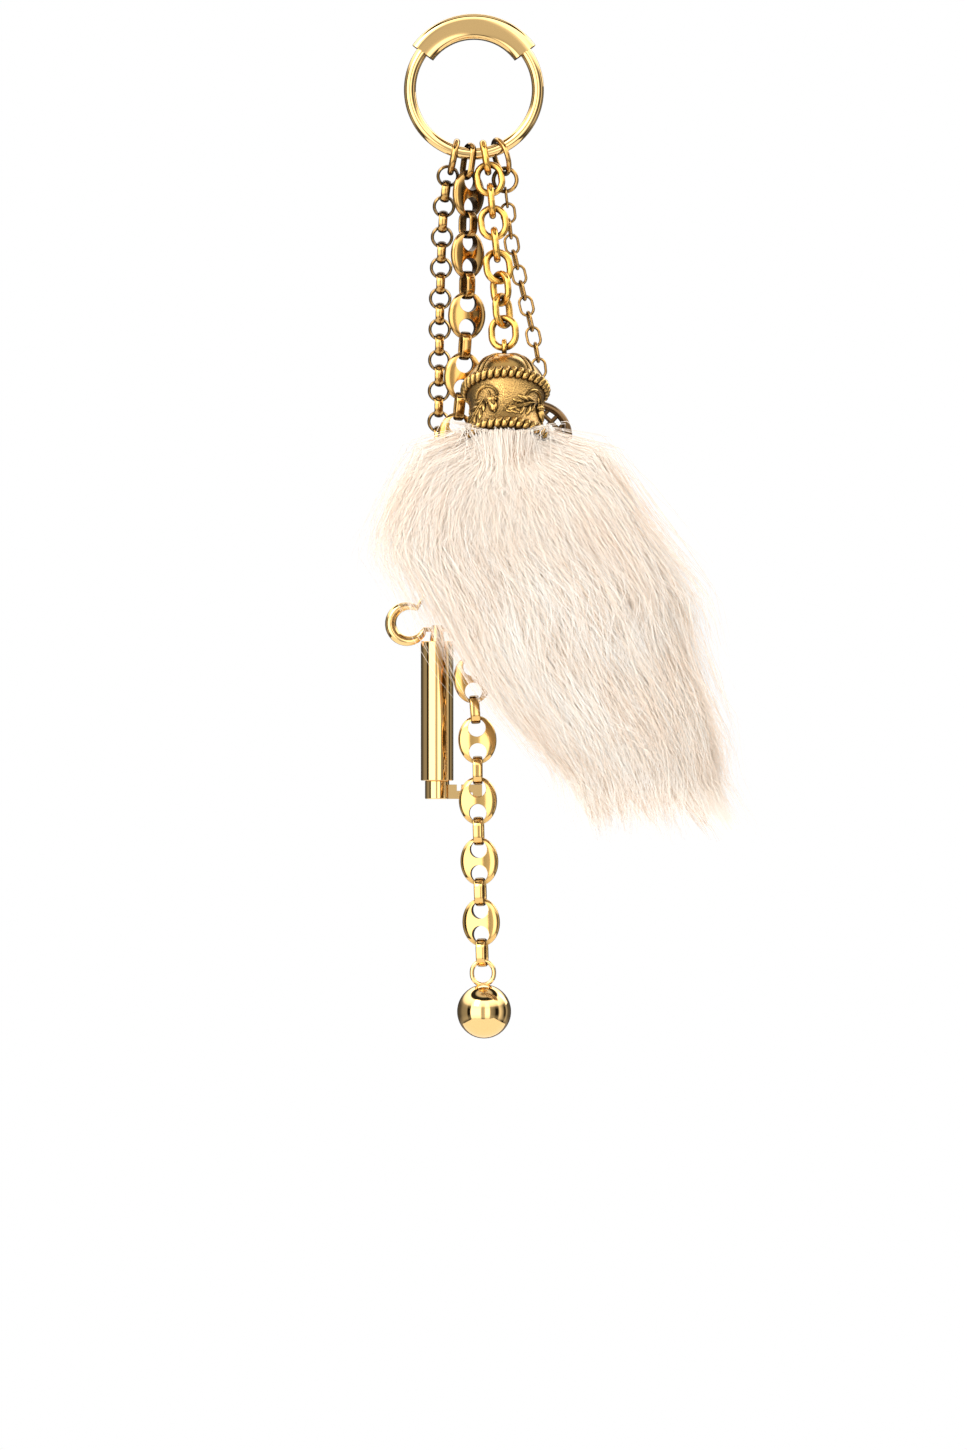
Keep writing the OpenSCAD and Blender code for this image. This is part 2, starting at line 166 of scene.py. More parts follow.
# %% [markdown]
# ## Light
# Polished metal shows its surroundings more than its own colour. A jeweller's light tent is white with
# a few narrow dark strips, which draw the crisp brown lines along wires and barrels. The world is that
# tent: a ramp round the object, another one from floor to roof, and plain white for the background.

# %% Build the light tent
TENT_STRENGTH = 3.0

scene = bpy.context.scene
scene.view_settings.view_transform = "Standard"
world = bpy.data.worlds.new("light tent")
scene.world = world
tent = Finish(world)
toward = tent.node("TexCoord", output=0)
x, y, z = (tent.node("SeparateXYZ", output=k, Vector=toward) for k in range(3))
turn = x.math("ARCTAN2", x, y * -1) * (0.5 / math.pi) + 0.5
rise = x.math("ARCSINE", z) * (1 / math.pi) + 0.5


def around(degrees):
    """Place on the ramp of an angle from the camera's side, to the right."""
    return degrees / 360 + 0.5


def above(degrees):
    """Place on the ramp of an angle above the horizon."""
    return degrees / 180 + 0.5


# brightness at angles round the tent from the camera's side, and at angles above the horizon
ROUND_TENT = [(-180, 0.015), (-125, 0.04), (-105, 0.12), (-80, 0.14), (-75, 0.004), (-62, 0.004), (-58, 1.0),
              (-16, 1.0), (-11, 0.2), (-3, 0.26), (2, 0.26), (6, 0.9), (22, 0.9), (28, 0.16), (46, 0.08),
              (52, 0.004), (64, 0.01), (72, 0.45), (92, 0.1), (98, 0.01), (106, 0.01), (112, 0.2),
              (125, 0.05), (179, 0.015)]
UP_TENT = [(-90, 0.2), (-70, 0.8), (-45, 0.8), (-40, 0.004), (-28, 0.004), (-22, 0.26), (18, 0.26),
           (24, 1.0), (46, 1.0), (50, 0.01), (62, 0.01), (68, 0.3)]
sides = tent.node("ValToRGB", {"stops": [(around(angle), light) for angle, light in ROUND_TENT]}, Fac=turn)
heights = tent.node("ValToRGB", {"stops": [(above(angle), light) for angle, light in UP_TENT]}, Fac=rise)
level = (x.math("ABSOLUTE", z) * 1.9 - 0.35).clamped()
tone = tent.mix(level, sides, heights)
studio = tent.node("Background", Color=tone, Strength=TENT_STRENGTH)
white = tent.node("Background", Color=(1, 1, 1), Strength=1.0)
camera_ray = tent.node("LightPath", output=0)
shown = tent.node("MixShader", i0=camera_ray, i1=studio, i2=white)
tent.node("OutputWorld", Surface=shown)


def softbox(name, place, aim, size, power):
    light = bpy.data.lights.new(name, "AREA")
    light.shape = "RECTANGLE"
    light.size, light.size_y = size
    light.energy = power
    lamp = bpy.data.objects.new(name, light)
    lamp.location = place
    lamp.rotation_euler = (Vector(aim) - Vector(place)).to_track_quat("-Z", "Y").to_euler()
    scene.collection.objects.link(lamp)


AIM = (0, 0, -0.12)
softbox("key light", (-0.9, -1.2, 0.9), AIM, (0.7, 0.9), 7)
softbox("rim light", (1.2, 0.9, 0.6), AIM, (0.6, 0.9), 4)

# %% [markdown]
# ## The floor
# The piece hangs above a plain pale floor that runs out to the white background.

# %% Lay the floor
FLOOR_Z = -0.60
FLOOR_HALF = 0.6
bm = bmesh.new()
bmesh.ops.create_grid(bm, x_segments=1, y_segments=1, size=FLOOR_HALF)
bmesh.ops.translate(bm, verts=bm.verts, vec=(0, 0, FLOOR_Z))
floor_mesh = bpy.data.meshes.new("floor")
bm.to_mesh(floor_mesh)
bm.free()
floor = bpy.data.objects.new("floor", floor_mesh)
scene.collection.objects.link(floor)
pale = Finish(bpy.data.materials.new("pale floor"))
surface = pale.node("BsdfPrincipled", Base_Color=(0.3, 0.3, 0.3), Roughness=0.9, Emission_Color=(1, 1, 1),
                    Emission_Strength=0.9)
pale.node("OutputMaterial", Surface=surface)
floor_mesh.materials.append(pale.owner)

# %% [markdown]
# ## Gold finishes
# Seven finishes share one recipe. The metal has a base colour, a roughness that wanders a little, and
# fine handling marks as bump. Antiqued metal is dipped in a dark patina and then buffed, which leaves
# the dark only where a cloth can't reach, so its mask is the ambient occlusion: how closed-in a spot is.
# The same mask also darkens metal where other parts come close, and the corners of the satin chain:
# that dark is painted shade, so the mask is partly antiquing and partly painted shade.

# %% Make the metals
DARK_ANTIQUING_AND_SHADE = (0.030, 0.017, 0.007)


def gold(name, colour, roughness, marks=0.02, antiquing_and_shade=0.0, reach=1.3, grain=0.0):
    """marks: depth of handling marks; patina: how much dark, from antiquing in hollows and from painted
    shade near other parts, stays in corners within reach millimetres.
    """
    finish = Finish(bpy.data.materials.new(name))
    cloud = finish.noise(260, detail=3)
    fine = finish.noise(2400, detail=2)
    tone = colour
    rough = cloud * (roughness * 0.5) + roughness * 0.75
    if antiquing_and_shade:
        shade = finish.node("AmbientOcclusion", {"samples": 8}, output=1, Distance=reach * MM)
        # dark antiquing in hollows plus painted shade wherever other parts crowd close, both from ambient
        # occlusion
        antiquing_and_shade_mask = ((1 - shade) * (2.0 + antiquing_and_shade) + cloud * 0.7 - 0.50).clamped() * antiquing_and_shade
        tone = finish.mix(antiquing_and_shade_mask, colour, DARK_ANTIQUING_AND_SHADE)
        rough = rough + antiquing_and_shade_mask * 0.25
    relief = fine * marks + cloud * (marks * 2)
    if grain:
        cells = finish.node("TexVoronoi", Vector=finish.node("TexCoord", output=3), Scale=2600.0)
        relief = relief + cells * grain
    normal = finish.node("Bump", Height=relief, Distance=0.12 * MM, Strength=0.6)
    surface = finish.node("BsdfPrincipled", Base_Color=tone, Metallic=1.0, Roughness=rough, Normal=normal)
    finish.node("OutputMaterial", Surface=surface)
    return finish.owner


polished = gold("polished gold", (0.80, 0.53, 0.22), 0.06, marks=0.01)
# the satin chain takes the same dark mask, which on it is painted shade
satin = gold("satin gold", (0.80, 0.44, 0.10), 0.20, marks=0.05, antiquing_and_shade=0.85, reach=2.2)
antique = gold("antiqued gold", (0.56, 0.32, 0.10), 0.13, marks=0.05, antiquing_and_shade=0.97, reach=4.5)
# a lighter copy of the antiqued finish, used on the lower ovals
lighter_antique = gold("lighter antiqued gold", (0.74, 0.46, 0.16), 0.09, marks=0.03, antiquing_and_shade=0.95, reach=3.6)
cast = gold("cast antiqued gold", (0.60, 0.36, 0.11), 0.20, marks=0.10, antiquing_and_shade=0.97, reach=1.8)
cast_ground = gold("punched ground", (0.52, 0.31, 0.10), 0.26, marks=0.1, antiquing_and_shade=0.95, reach=2.6, grain=1.2)
# very dark metal for the medallion: painted shade for a part that hangs in the tail's shade
shade_dark_antique = gold("antiqued gold darkened as painted shade", (0.17, 0.10, 0.045), 0.30, marks=0.1, antiquing_and_shade=0.97, reach=2.0)


def coat_part(node, material):
    """Gives a part of the frame its finish."""
    slots = nodes[node].data.materials
    slots.clear()
    slots.append(material)


for node in nodes:
    if node in ("split_ring", "ring_sleeve", "key_barrel", "key_tip", "key_bit", "end_ball", "ball_eye"):
        coat_part(node, polished)
    elif node.startswith("tail_chain_link") or node == "cap_eye":
        coat_part(node, satin)
    else:
        coat_part(node, antique)
print("finishes:", [m.name for m in bpy.data.materials])

# %% [markdown]
# ## Turning a bmesh into a piece
# Every new piece is finished the same way: merge, turn the faces outwards, shade smooth with sharp
# edges kept, and ride on its body in place of the part of the frame that it stands for.

# %% Finish and place pieces
SHARP = math.radians(38)


def as_piece(name, mesh, material, body, stands_for=()):
    mesh.shade_smooth()
    mesh.set_sharp_from_angle(angle=SHARP)
    piece = bpy.data.objects.new(name, mesh)
    scene.collection.objects.link(piece)
    for each in material if isinstance(material, (list, tuple)) else [material]:
        mesh.materials.append(each)
    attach(piece, body)
    if stands_for:
        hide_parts(*stands_for)
    return piece


def to_mesh(name, bm, merge=0.0005 * MM):
    bmesh.ops.remove_doubles(bm, verts=bm.verts, dist=merge)
    bmesh.ops.recalc_face_normals(bm, faces=bm.faces)
    mesh = bpy.data.meshes.new(name)
    bm.to_mesh(mesh)
    bm.free()
    return mesh


def moved_copy(name, mesh, matrix):
    """A copy of a mesh with its place put into its vertices."""
    bm = bmesh.new()
    bm.from_mesh(mesh)
    bmesh.ops.transform(bm, matrix=matrix, verts=bm.verts)
    copy = bpy.data.meshes.new(name)
    bm.to_mesh(copy)
    bm.free()
    return copy


# %% [markdown]
# ## The sleeve
# The sleeve is cast as one arc with a gently crowned face and soft edges, and bored for the ring's wire.
# Its section is a flat ring of faces, a rounded outline round the bore, spun through the sleeve's angle.

# %% Spin the sleeve
RING_R, SLEEVE_MID, BORE_R = 16.0, 15.75, 1.56
SLEEVE_HALF = (3.2, 2.7)
SLEEVE_ANGLE = math.radians(108)
SECTION_POINTS = 48


def rounded(value, power=0.5):
    """Pushes a sine or cosine outwards, which turns a circle into a rounded square."""
    return math.copysign(abs(value) ** power, value)


bm = bmesh.new()
turns = [2 * math.pi * k / SECTION_POINTS for k in range(SECTION_POINTS)]
outer = [bm.verts.new(((SLEEVE_MID + SLEEVE_HALF[0] * rounded(math.cos(a))) * MM,
                       SLEEVE_HALF[1] * rounded(math.sin(a)) * MM, 0)) for a in turns]
bore = [bm.verts.new(((RING_R + BORE_R * math.cos(a)) * MM, BORE_R * math.sin(a) * MM, 0)) for a in turns]
for k in range(SECTION_POINTS):
    bm.faces.new((outer[k - 1], outer[k], bore[k], bore[k - 1]))
bmesh.ops.rotate(bm, verts=bm.verts, matrix=Matrix.Rotation(-(math.pi - SLEEVE_ANGLE) / 2, 3, "Y"))
bmesh.ops.spin(bm, geom=bm.verts[:] + bm.edges[:] + bm.faces[:], axis=(0, 1, 0), cent=(0, 0, 0),
               angle=-SLEEVE_ANGLE, steps=64)
sleeve = as_piece("sleeve_arc", to_mesh("sleeve_arc", bm), polished, "sleeve", ["ring_sleeve"])
print("sleeve spans", [round(v * 1000, 1) for v in sleeve.dimensions])

# %% [markdown]
# ## How a link hangs
# A link points down its chain, from the link before it to the link after it, and every second link is
# turned a quarter about that line. The chain's own slow twist comes on top.

# %% Place links from the frame
def middle(node):
    low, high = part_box(node)
    return (Vector(low) + Vector(high)) / 2


def hanging(centres, k, turn):
    """The matrix that hangs link k of a chain at its centre, turned about its own length."""
    before, after = centres[max(k - 1, 0)], centres[min(k + 1, len(centres) - 1)]
    down = (after - before).normalized()
    lean = Matrix.Rotation(math.atan2(-down.x, -down.z), 4, "Y") @ Matrix.Rotation(math.asin(down.y), 4, "X")
    return Matrix.Translation(centres[k]) @ lean @ Matrix.Rotation(math.radians(turn), 4, "Z")


def twist_at(table, height):
    """Twist in degrees at a height in millimetres, from a chain's table from the top down."""
    heights_up, turns_up = zip(*sorted(table))
    return float(np.interp(height, heights_up, turns_up))


# %% [markdown]
# ## The oval chain
# Each puffed oval is struck from sheet and pierced with two round eyes that leave a bar between them.
# A flattened ball gives the swelling, the eyes are cut by a boolean, and a bevel rounds their rims.
# One oval is made and hung thirteen times. The band links between them start as one full spin of a
# domed section, stretched into a racetrack by pulling its two halves apart.

# %% Shape one puffed oval
OVAL_L, OVAL_W, OVAL_D = 12.1, 9.6, 3.0
EYE_D, EYE_UP = 4.4, 3.03
OVAL_BLUNT = 0.78


def apply_modifiers(name, mesh, *settings):
    """The mesh after modifiers given as (type, {setting: value})."""
    carrier = bpy.data.objects.new(name, mesh)
    scene.collection.objects.link(carrier)
    for kind, values in settings:
        modifier = carrier.modifiers.new(kind.lower(), kind)
        for key, value in values.items():
            setattr(modifier, key, value)
    graph = bpy.context.evaluated_depsgraph_get()
    result = bpy.data.meshes.new_from_object(carrier.evaluated_get(graph))
    bpy.data.objects.remove(carrier)
    return result


def eye_cutter():
    bm = bmesh.new()
    for side in (-1, 1):
        place = Matrix.Translation((0, 0, side * EYE_UP * MM)) @ Matrix.Rotation(math.pi / 2, 4, "X")
        bmesh.ops.create_cone(bm, cap_ends=True, segments=40, radius1=EYE_D / 2 * MM, radius2=EYE_D / 2 * MM,
                              depth=4 * OVAL_D * MM, matrix=place)
    cutter = bpy.data.objects.new("eye cutter", to_mesh("eye cutter", bm))
    scene.collection.objects.link(cutter)
    return cutter


bm = bmesh.new()
bmesh.ops.create_uvsphere(bm, u_segments=64, v_segments=40, radius=1,
                          matrix=Matrix.Rotation(math.pi / 2, 4, "X"))
for v in bm.verts:
    v.co.y = math.copysign(abs(v.co.y) ** OVAL_BLUNT, v.co.y)
bmesh.ops.scale(bm, verts=bm.verts, vec=(OVAL_W / 2 * MM, OVAL_D / 2 * MM, OVAL_L / 2 * MM))
blank = to_mesh("oval blank", bm)
cutter = eye_cutter()
drilling = ("BOOLEAN", {"object": cutter, "operation": "DIFFERENCE", "solver": "EXACT"})
rounding = ("BEVEL", {"width": 0.22 * MM, "segments": 3, "limit_method": "ANGLE",
                      "angle_limit": math.radians(35)})
oval = apply_modifiers("oval", blank, drilling, rounding)
bpy.data.objects.remove(cutter)
print("oval link:", len(oval.polygons), "faces")

# %% Shape one band link
JOINER_L, JOINER_W, JOINER_WALL, JOINER_BAND = 7.2, 5.6, 0.8, 2.3


def band_loop(length, width, wall, band, steps=36):
    """A racetrack loop of domed band, hanging along Z and flat in the XZ plane."""
    bm = bmesh.new()
    bmesh.ops.create_circle(bm, segments=20, radius=1)
    for v in bm.verts:
        v.co.x = math.copysign(abs(v.co.x) ** 0.75, v.co.x)
        v.co.y = math.copysign(abs(v.co.y) ** 0.6, v.co.y)
    bmesh.ops.scale(bm, verts=bm.verts, vec=(wall / 2 * MM, band / 2 * MM, 1))
    bmesh.ops.translate(bm, verts=bm.verts, vec=((width - wall) / 2 * MM, 0, 0))
    bmesh.ops.rotate(bm, verts=bm.verts, matrix=Matrix.Rotation(math.pi / steps, 3, "Y"))
    bmesh.ops.spin(bm, geom=bm.verts[:] + bm.edges[:], axis=(0, 1, 0), cent=(0, 0, 0), angle=2 * math.pi,
                   steps=steps, use_merge=True)
    for v in bm.verts:
        v.co.z += math.copysign((length - width) / 2 * MM, v.co.z)
    return to_mesh("band loop", bm)


joiner = band_loop(JOINER_L, JOINER_W, JOINER_WALL, JOINER_BAND)

# %% Hang the oval chain
OVAL_TWIST = [(-20, 36), (-26, 38), (-41, 33), (-56, 15), (-71, 10), (-85, 6), (-150, 4), (-163, 0),
              (-178, -5), (-194, -10), (-210, -14), (-224, -8)]
# ovals above this height take the darker antiqued finish and those below it the lighter one
OVAL_COUNT, DARKER_OVALS_ABOVE = 13, -0.150
bodies = frame["record"]["behaviour"]["bodies"]
node_body = {node: body for body, names in bodies.items() for node in names}
chain = [f"oval_{kind}_{k:02d}" for k in range(1, OVAL_COUNT + 1) for kind in ("link", "joiner")]
centres = [middle(node) for node in chain]
for k, node in enumerate(chain):
    is_joiner = k % 2
    turn = 90 * is_joiner + twist_at(OVAL_TWIST, centres[k].z / MM)
    material = antique if centres[k].z > DARKER_OVALS_ABOVE else lighter_antique
    shaped = moved_copy("fine_" + node, joiner if is_joiner else oval, hanging(centres, k, turn))
    as_piece("fine_" + node, shaped, material, node_body[node], [node])
print("oval chain hung:", len(chain), "links")

# %% [markdown]
# ## The cast cap
# The cap is built upright about its own axis with the top of its dome at the origin, and leans into
# place at the very end. A spun shell carries two ropes of slanted beads, four double ribs over the
# dome, and a frieze of oak leaves and acorns.

# %% Spin the cap's shell
CAP_LEAN = math.radians(25)
DOME_R, DOME_H, ROPE_R, ROPE_WIRE = 10.5, 8.0, 9.9, 2.7
ROPE_DOWN = (9.0, 23.0)
WAIST_SAG, CAP_WALL, MOUTH_R, SKIRT_DOWN = 1.2, 1.3, 8.3, 24.4
DOME_END = math.degrees(math.asin(1 - DOME_H / DOME_R))
ON_AXIS = 1e-6


def spun(profile, steps=96):
    """A closed profile of (radius, height) in millimetres, spun about Z. Corners on the axis are poles."""
    bm = bmesh.new()
    ring = [bm.verts.new((max(r, 0) * MM, 0, h * MM)) for r, h in profile]
    off_axis = [r > ON_AXIS for r, h in profile]
    edges = [bm.edges.new((ring[k - 1], ring[k])) for k in range(len(ring))
             if off_axis[k - 1] or off_axis[k]]
    bmesh.ops.spin(bm, geom=ring + edges, axis=(0, 0, 1), cent=(0, 0, 0), angle=2 * math.pi, steps=steps,
                   use_merge=True)
    return bm


def arc(centre, radius, start, end, count):
    """Points on a circle between two angles in degrees."""
    return [(centre[0] + radius * math.cos(math.radians(a)), centre[1] + radius * math.sin(math.radians(a)))
            for a in np.linspace(start, end, count)]


waist_mid = -sum(ROPE_DOWN) / 2


def waist_radius(height):
    """Outer radius of the cap between its ropes, in millimetres."""
    half = (ROPE_DOWN[1] - ROPE_DOWN[0]) / 2
    return ROPE_R - WAIST_SAG * max(0, 1 - ((height - waist_mid) / half) ** 2) + 0.2


outside = arc((0, -DOME_R), DOME_R, 90, DOME_END, 24)
outside += [(waist_radius(h), h) for h in np.linspace(-ROPE_DOWN[0], -ROPE_DOWN[1], 17)]
outside += [(ROPE_R, -SKIRT_DOWN), (MOUTH_R, -SKIRT_DOWN)]
inside = arc((0, -DOME_R), DOME_R - CAP_WALL, DOME_END + 8, 90, 12)
bm = spun(outside + [(MOUTH_R, -DOME_H - 1)] + inside[1:])
ground_z = (-ROPE_DOWN[1] * MM, -ROPE_DOWN[0] * MM)
for face in bm.faces:
    centre = face.calc_center_median()
    on_waist = ground_z[0] < centre.z < ground_z[1] and centre.xy.length > (MOUTH_R + 0.1) * MM
    face.material_index = 1 if on_waist else 0
shell_mesh = to_mesh("cap shell", bm)


# %% Lay the ropes
BEADS = 36
BEAD_SLANT = math.radians(-30)
BEAD_HALF = (1.0, 1.75)


def rope(down):
    """A ring of slanted beads that reads as twisted rope."""
    bm = bmesh.new()
    for k in range(BEADS):
        place = (Matrix.Rotation(2 * math.pi * k / BEADS, 4, "Z")
                 @ Matrix.Translation((ROPE_R * MM, 0, -down * MM)) @ Matrix.Rotation(BEAD_SLANT, 4, "X"))
        size = Matrix.Diagonal((ROPE_WIRE / 2 * MM, BEAD_HALF[0] * MM, BEAD_HALF[1] * MM, 1))
        bmesh.ops.create_uvsphere(bm, u_segments=12, v_segments=10, radius=1, matrix=place @ size)
    return to_mesh("rope", bm, merge=1e-9)


ropes = [rope(down) for down in ROPE_DOWN]

# %% Bend ribs over the dome
RIB_PAIR = 0.75
RIB_WIRE = 0.62
RIB_START, RIB_ANGLE = 1.2, math.radians(71)


def rib(azimuth, side):
    """One round wire that follows the dome from its top down to the rope."""
    bm = bmesh.new()
    bmesh.ops.create_circle(bm, segments=10, radius=RIB_WIRE / 2 * MM, cap_ends=True)
    bmesh.ops.rotate(bm, verts=bm.verts, matrix=Matrix.Rotation(math.pi / 2, 3, "Y"))
    bmesh.ops.translate(bm, verts=bm.verts, vec=(RIB_START * MM, side * RIB_PAIR * MM, DOME_R * MM))
    bmesh.ops.spin(bm, geom=bm.verts[:] + bm.edges[:] + bm.faces[:], axis=(0, 1, 0), cent=(0, 0, 0),
                   angle=RIB_ANGLE, steps=22)
    bmesh.ops.translate(bm, verts=bm.verts, vec=(0, 0, -DOME_R * MM))
    bmesh.ops.rotate(bm, verts=bm.verts, matrix=Matrix.Rotation(math.radians(azimuth), 3, "Z"))
    return to_mesh("rib", bm)


ribs = [rib(azimuth, side) for azimuth in (50, 130, 230, 310) for side in (-1, 1)]


# %% [markdown]
# ### Oak leaves and acorns
# Each ornament is modelled flat, as it would be carved: along the cap's girth, up the cap, and out of
# its face. A last step wraps it round the waist. A leaf is a row of rounded lobes on both sides of a
# swollen middle, and an acorn is a nut in a scaly cup.

# %% Carve a leaf and an acorn
def lump(bm, place, size, lean=0.0, sides=14):
    """A rounded lump at (girth, up, out) in millimetres."""
    matrix = (Matrix.Translation(Vector(place) * MM) @ Matrix.Rotation(math.radians(lean), 4, "Z")
              @ Matrix.Diagonal((size[0] * MM, size[1] * MM, size[2] * MM, 1)))
    bmesh.ops.create_uvsphere(bm, u_segments=sides, v_segments=10, radius=1, matrix=matrix)


LEAF_L = 8.6
LOBES = [(1.9, 1.25, 1.45), (3.8, 1.75, 1.75), (5.7, 1.35, 1.45)]


def leaf():
    """An oak leaf that points along +girth, with its stem at the origin."""
    bm = bmesh.new()
    lump(bm, (LEAF_L * 0.52, 0, -0.05), (LEAF_L * 0.48, 0.75, 0.5))
    for along, out, big in LOBES:
        for side in (-1, 1):
            lump(bm, (along, side * out, 0), (big, big * 0.38, 0.48), lean=side * 42)
            lump(bm, (along - 0.2, side * out * 0.7, 0.42), (big * 0.75, 0.1, 0.16), lean=side * 42, sides=8)
    lump(bm, (LEAF_L - 0.9, 0, 0), (1.5, 0.75, 0.48))
    lump(bm, (LEAF_L * 0.45, 0, 0.42), (LEAF_L * 0.5, 0.16, 0.24))
    return to_mesh("leaf", bm, merge=1e-9)


def stem():
    """An arched twig that hangs over a leaf and its acorn."""
    bm = bmesh.new()
    bmesh.ops.create_circle(bm, segments=8, radius=0.36 * MM, cap_ends=True)
    bmesh.ops.rotate(bm, verts=bm.verts, matrix=Matrix.Rotation(math.pi / 2, 3, "X"))
    bmesh.ops.translate(bm, verts=bm.verts, vec=(3.4 * MM, 0, 0.1 * MM))
    bmesh.ops.spin(bm, geom=bm.verts[:] + bm.edges[:] + bm.faces[:], axis=(0, 0, 1), cent=(0, 0, 0),
                   angle=math.radians(150), steps=14)
    return to_mesh("stem", bm)


def acorn():
    """An acorn that points along +girth, with the cup at the origin."""
    bm = bmesh.new()
    lump(bm, (1.9, 0, 0.15), (1.75, 1.0, 0.95))
    lump(bm, (3.6, 0, 0.15), (0.35, 0.22, 0.3), sides=8)
    lump(bm, (0.55, 0, 0.1), (1.0, 1.3, 1.1))
    for row in range(3):
        for k in range(-2, 3):
            place = (0.05 + row * 0.48, k * 0.48 + 0.24 * (row % 2), 0.95 - abs(k) * 0.2)
            lump(bm, place, (0.28, 0.24, 0.3), sides=8)
    lump(bm, (-1.0, 0, 0), (1.1, 0.22, 0.3), sides=8)
    return to_mesh("acorn", bm, merge=1e-9)


def wrapped(mesh, azimuth, up, turn, scale=1.0):
    """Lays a flat ornament round the waist, at an azimuth in degrees and a height in millimetres."""
    bm = bmesh.new()
    bm.from_mesh(mesh)
    bmesh.ops.transform(bm, matrix=Matrix.Rotation(math.radians(turn), 4, "Z") @ Matrix.Scale(scale, 4),
                        verts=bm.verts)
    for v in bm.verts:
        height = waist_mid + up + v.co.y / MM
        radius = waist_radius(height) + v.co.z / MM
        angle = math.radians(azimuth) + v.co.x / MM / waist_radius(waist_mid)
        v.co = Vector((radius * math.cos(angle), radius * math.sin(angle), height)) * MM
    return to_mesh("ornament", bm, merge=1e-9)


leaf_mesh, acorn_mesh, stem_mesh = leaf(), acorn(), stem()
SPRAYS = 4
SPRAY_START = -116
frieze = []
for k in range(SPRAYS):
    start = SPRAY_START + k * 360 / SPRAYS
    frieze.append(wrapped(leaf_mesh, start - 8, 0.9, 205 if k % 2 else 226))
    frieze.append(wrapped(acorn_mesh, start + 2, 0.6, -75, 1.15))
    frieze.append(wrapped(stem_mesh, start - 8, 0.6, 12, 1.0))
    frieze.append(wrapped(leaf_mesh, start + 22, -3.2, 18, 0.62))
print("frieze:", len(frieze), "ornaments")

# %% Lean the cap into place
DOME_BELOW_EYE = Vector((0, 2.95, 4.85)) * MM
eye_low, eye_high = (Vector(corner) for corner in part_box("cap_eye"))
dome_top = Vector(((eye_low.x + eye_high.x) / 2, eye_high.y, eye_high.z)) - DOME_BELOW_EYE
on_cap = Matrix.Translation(dome_top) @ Matrix.Rotation(-CAP_LEAN, 4, "X")


def joined(name, meshes, matrix):
    """Several meshes in one, with a matrix applied."""
    bm = bmesh.new()
    for mesh in meshes:
        bm.from_mesh(mesh)
    bmesh.ops.transform(bm, matrix=matrix, verts=bm.verts)
    result = bpy.data.meshes.new(name)
    bm.to_mesh(result)
    bm.free()
    return result


as_piece("cap_shell", joined("cap_shell", [shell_mesh], on_cap), [cast, cast_ground], "tail", ["tail_cap"])
as_piece("cap_ropes", joined("cap_ropes", ropes, on_cap), cast, "tail")
as_piece("cap_ribs", joined("cap_ribs", ribs, on_cap), cast, "tail")
as_piece("cap_frieze", joined("cap_frieze", frieze, on_cap), cast, "tail")
print("dome's top at", [round(c / MM, 2) for c in dome_top])

# %% [markdown]
# ## The key
# The bow is one wire bent into three lobes. The wire is thick at the far side of each lobe and thin
# where two lobes meet, so it is swept along the outline with a radius that changes on the way. The
# barrel and its tip are turned parts: a spun profile with a small round on every edge.

# %% Sweep the bow
LOBE_R, LOBE_DOWN, LOBE_SIDE = 4.4, 10.75, 7.3
BOW_THICK, BOW_THIN = 1.45, 0.68
BARREL_DROP = 15.2


def swept(name, lines, sides=2, closed=False):
    """Round wires along lines of (x, y, z, radius) rows, in metres, as one mesh."""
    curve = bpy.data.curves.new(name, "CURVE")
    curve.dimensions = "3D"
    curve.bevel_depth = 1
    curve.bevel_resolution = sides
    curve.use_fill_caps = not closed
    for line in lines:
        spline = curve.splines.new("POLY")
        spline.points.add(len(line) - 1)
        spline.points.foreach_set("co", np.column_stack([line[:, :3], np.ones(len(line))]).ravel())
        spline.points.foreach_set("radius", line[:, 3])
        spline.use_cyclic_u = closed
    carrier = bpy.data.objects.new(name, curve)
    scene.collection.objects.link(carrier)
    graph = bpy.context.evaluated_depsgraph_get()
    mesh = bpy.data.meshes.new_from_object(carrier.evaluated_get(graph))
    bpy.data.objects.remove(carrier)
    bpy.data.curves.remove(curve)
    mesh.materials.clear()
    return mesh


barrel_low, barrel_high = (Vector(corner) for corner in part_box("key_barrel"))
barrel_x, barrel_y = ((barrel_low[k] + barrel_high[k]) / 2 for k in (0, 1))
top_lobe = Vector((barrel_x, barrel_y, barrel_high.z + BARREL_DROP * MM))
lobes = [(0, 0, 90, 138), (LOBE_SIDE, -LOBE_DOWN, -20, 140), (-LOBE_SIDE, -LOBE_DOWN, 200, 140)]
outline = []
for across, up, outwards, half in lobes:
    for step in np.linspace(-1, 1, 28):
        angle = math.radians(outwards - step * half)
        thick = BOW_THIN + (BOW_THICK - BOW_THIN) * math.cos(step * math.pi / 2) ** 0.8
        outline.append((top_lobe.x + (across + LOBE_R * math.cos(angle)) * MM, top_lobe.y,
                        top_lobe.z + (up + LOBE_R * math.sin(angle)) * MM, thick * MM))
as_piece("key_trefoil", swept("key_trefoil", [np.array(outline)], sides=5, closed=True), polished, "key",
         ["key_bow"])

# %% Turn the barrel and the tip
TURNED_ROUND = 0.25


def turned(name, node):
    """A solid turned part in the place of an upright round node."""
    low, high = (Vector(corner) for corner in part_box(node))
    radius, tall = (high.x - low.x) / 2 / MM, (high.z - low.z) / MM
    profile = [(0, tall), (radius - TURNED_ROUND, tall)]
    profile += arc((radius - TURNED_ROUND, tall - TURNED_ROUND), TURNED_ROUND, 80, 0, 5)
    profile += arc((radius - TURNED_ROUND, TURNED_ROUND), TURNED_ROUND, 0, -90, 6)
    profile += [(0, 0)]
    bm = spun(profile, steps=72)
    foot = Vector(((low.x + high.x) / 2, (low.y + high.y) / 2, low.z))
    bmesh.ops.translate(bm, verts=bm.verts, vec=foot)
    return to_mesh(name, bm)


